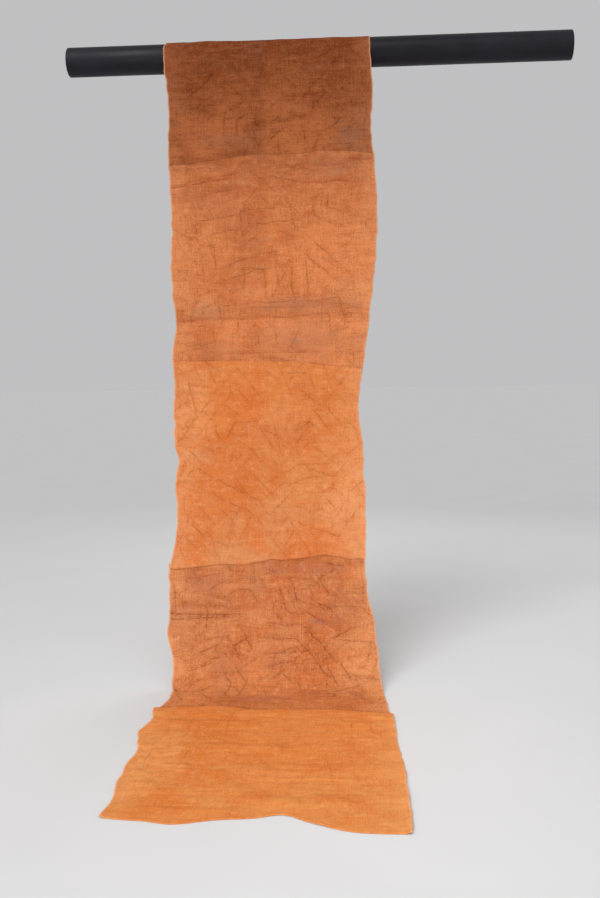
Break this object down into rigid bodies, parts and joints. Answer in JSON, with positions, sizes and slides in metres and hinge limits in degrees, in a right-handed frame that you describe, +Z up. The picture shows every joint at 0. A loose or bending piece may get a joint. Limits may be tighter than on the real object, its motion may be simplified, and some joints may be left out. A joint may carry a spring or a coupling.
{
  "type": "kuba cloth draped over a rod",
  "caption": "Long kuba cloth of sewn raffia panels, draped over a plain round rod, hanging in front of it and sweeping forward into a tail that lies on the floor.",
  "frame": {"origin": "on the floor, under the middle of the whole object's box", "axes": "+X along the rod to the viewer's right, +Y from the tail's hem back to the rod, +Z up from the floor"},
  "size_m": [1.58, 1.3946, 1.9569],
  "materials": {
    "rod_paint": "satin near-black paint with a faint blue sheen",
    "raffia_over_rod": "matt plain-woven raffia, deep rust",
    "raffia_upper": "matt plain-woven raffia, worn rust orange",
    "raffia_middle": "matt plain-woven raffia, bright orange",
    "raffia_lower": "matt open-woven raffia, greyer rust orange",
    "raffia_tail": "matt plain-woven raffia, bright orange with paler streaks"
  },
  "bodies": {
    "root": {"rod": "rod_paint", "panel_over_rod": "raffia_over_rod", "panel_upper": "raffia_upper", "panel_middle": "raffia_middle", "panel_lower": "raffia_lower", "panel_tail": "raffia_tail"}
  },
  "joints": []
}
